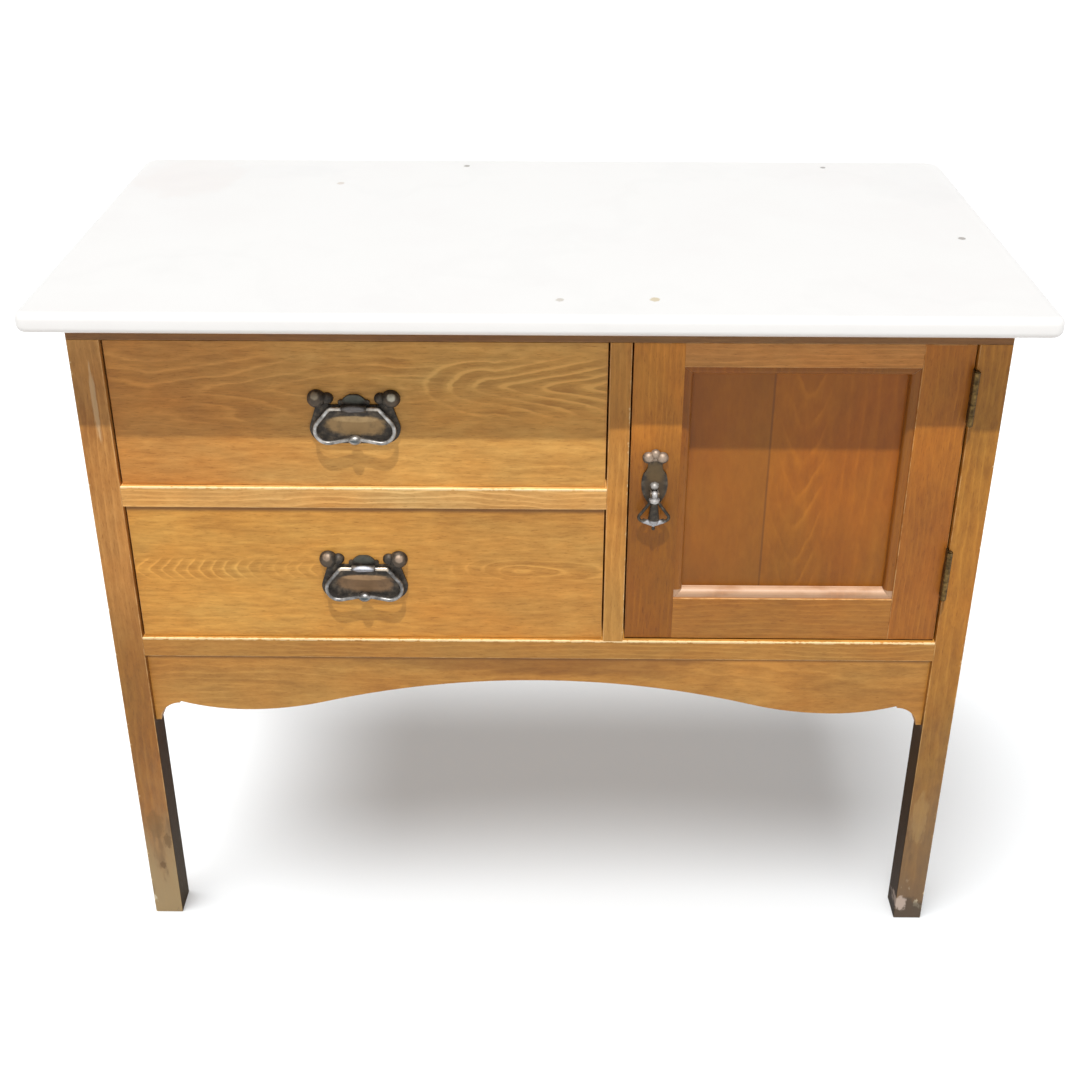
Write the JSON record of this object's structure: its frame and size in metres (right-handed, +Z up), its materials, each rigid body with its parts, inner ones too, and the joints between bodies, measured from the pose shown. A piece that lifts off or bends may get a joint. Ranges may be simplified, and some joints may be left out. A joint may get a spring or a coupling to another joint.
{
  "type": "washstand",
  "caption": "Marble-topped wooden washstand with two drawers beside a panelled cupboard door, a shaped apron and square legs.",
  "frame": {"origin": "on the floor under the middle of the marble slab", "axes": "+X to the right along the front, +Y from the front to the back, +Z up"},
  "size_m": [0.92, 0.457, 0.746],
  "materials": {
    "marble": "honed white marble with faint veins, stains and a few brown spots",
    "honey_wood": "ash stained honey brown, worn satin varnish, pale arrises",
    "red_wood": "the same wood in a redder brown, satin varnish",
    "plain_wood": "unvarnished pine, planed",
    "handle_bronze": "cast, dark bronze patina rubbed paler on the domes",
    "worn_steel": "worn bright where hands touch, dark elsewhere",
    "old_brass": "tarnished"
  },
  "bodies": {
    "carcass": {"marble_top": "marble", "leg_front_left": "honey_wood", "leg_front_right": "honey_wood", "leg_back_left": "honey_wood", "leg_back_right": "honey_wood", "top_rail_front": "honey_wood", "top_rail_back": "plain_wood", "top_rail_left": "plain_wood", "top_rail_right": "plain_wood", "top_bearer_centre": "plain_wood", "drawer_rail": "honey_wood", "bottom_rail_front": "honey_wood", "bottom_rail_back": "plain_wood", "centre_post": "honey_wood", "partition": "plain_wood", "side_panel_left": "honey_wood", "side_panel_right": "honey_wood", "back_boards": "plain_wood", "cupboard_floor": "plain_wood", "floor_cleats": "plain_wood", "runner_upper_left": "plain_wood", "runner_upper_right": "plain_wood", "runner_lower_left": "plain_wood", "runner_lower_right": "plain_wood", "drawer_stops": "plain_wood", "apron": "honey_wood", "glue_blocks": "plain_wood", "hinge_leaves_fixed": "old_brass", "hinge_pins": "old_brass", "strike_plate": "old_brass"},
    "upper_drawer": {"upper_drawer_front": "honey_wood", "upper_drawer_side_left": "plain_wood", "upper_drawer_side_right": "plain_wood", "upper_drawer_back": "plain_wood", "upper_drawer_bottom": "plain_wood", "upper_handle_plate": "handle_bronze", "upper_handle_screws": "old_brass"},
    "upper_bail": {"upper_handle_bail": "worn_steel"},
    "lower_drawer": {"lower_drawer_front": "honey_wood", "lower_drawer_side_left": "plain_wood", "lower_drawer_side_right": "plain_wood", "lower_drawer_back": "plain_wood", "lower_drawer_bottom": "plain_wood", "lower_handle_plate": "handle_bronze", "lower_handle_screws": "old_brass"},
    "lower_bail": {"lower_handle_bail": "worn_steel"},
    "door": {"door_stile_left": "red_wood", "door_stile_right": "red_wood", "door_rail_top": "red_wood", "door_rail_bottom": "red_wood", "door_panel": "red_wood", "door_moulding": "red_wood", "hinge_leaves_moving": "old_brass", "ball_catch": "old_brass", "door_handle_plate": "handle_bronze", "door_handle_screws": "old_brass"},
    "door_drop": {"door_handle_drop": "worn_steel"}
  },
  "joints": [
    {"name": "upper_drawer_slide", "type": "slide", "parent": "carcass", "child": "upper_drawer", "axis": [0, -1, 0], "range_m": [0, 0.3]},
    {"name": "lower_drawer_slide", "type": "slide", "parent": "carcass", "child": "lower_drawer", "axis": [0, -1, 0], "range_m": [0, 0.3]},
    {"name": "upper_bail_swing", "type": "hinge", "parent": "upper_drawer", "child": "upper_bail", "pos_m": [-0.1707, -0.1958, 0.63775], "axis": [-1, 0, 0], "range_deg": [0, 85]},
    {"name": "lower_bail_swing", "type": "hinge", "parent": "lower_drawer", "child": "lower_bail", "pos_m": [-0.1707, -0.1958, 0.46175], "axis": [-1, 0, 0], "range_deg": [0, 85]},
    {"name": "door_swing", "type": "hinge", "parent": "carcass", "child": "door", "pos_m": [0.39775, -0.1978, 0.54125], "axis": [0, 0, 1], "range_deg": [0, 170]},
    {"name": "door_drop_swing", "type": "hinge", "parent": "door", "child": "door_drop", "pos_m": [0.1102, -0.199, 0.55], "axis": [-1, 0, 0], "range_deg": [0, 80]}
  ]
}
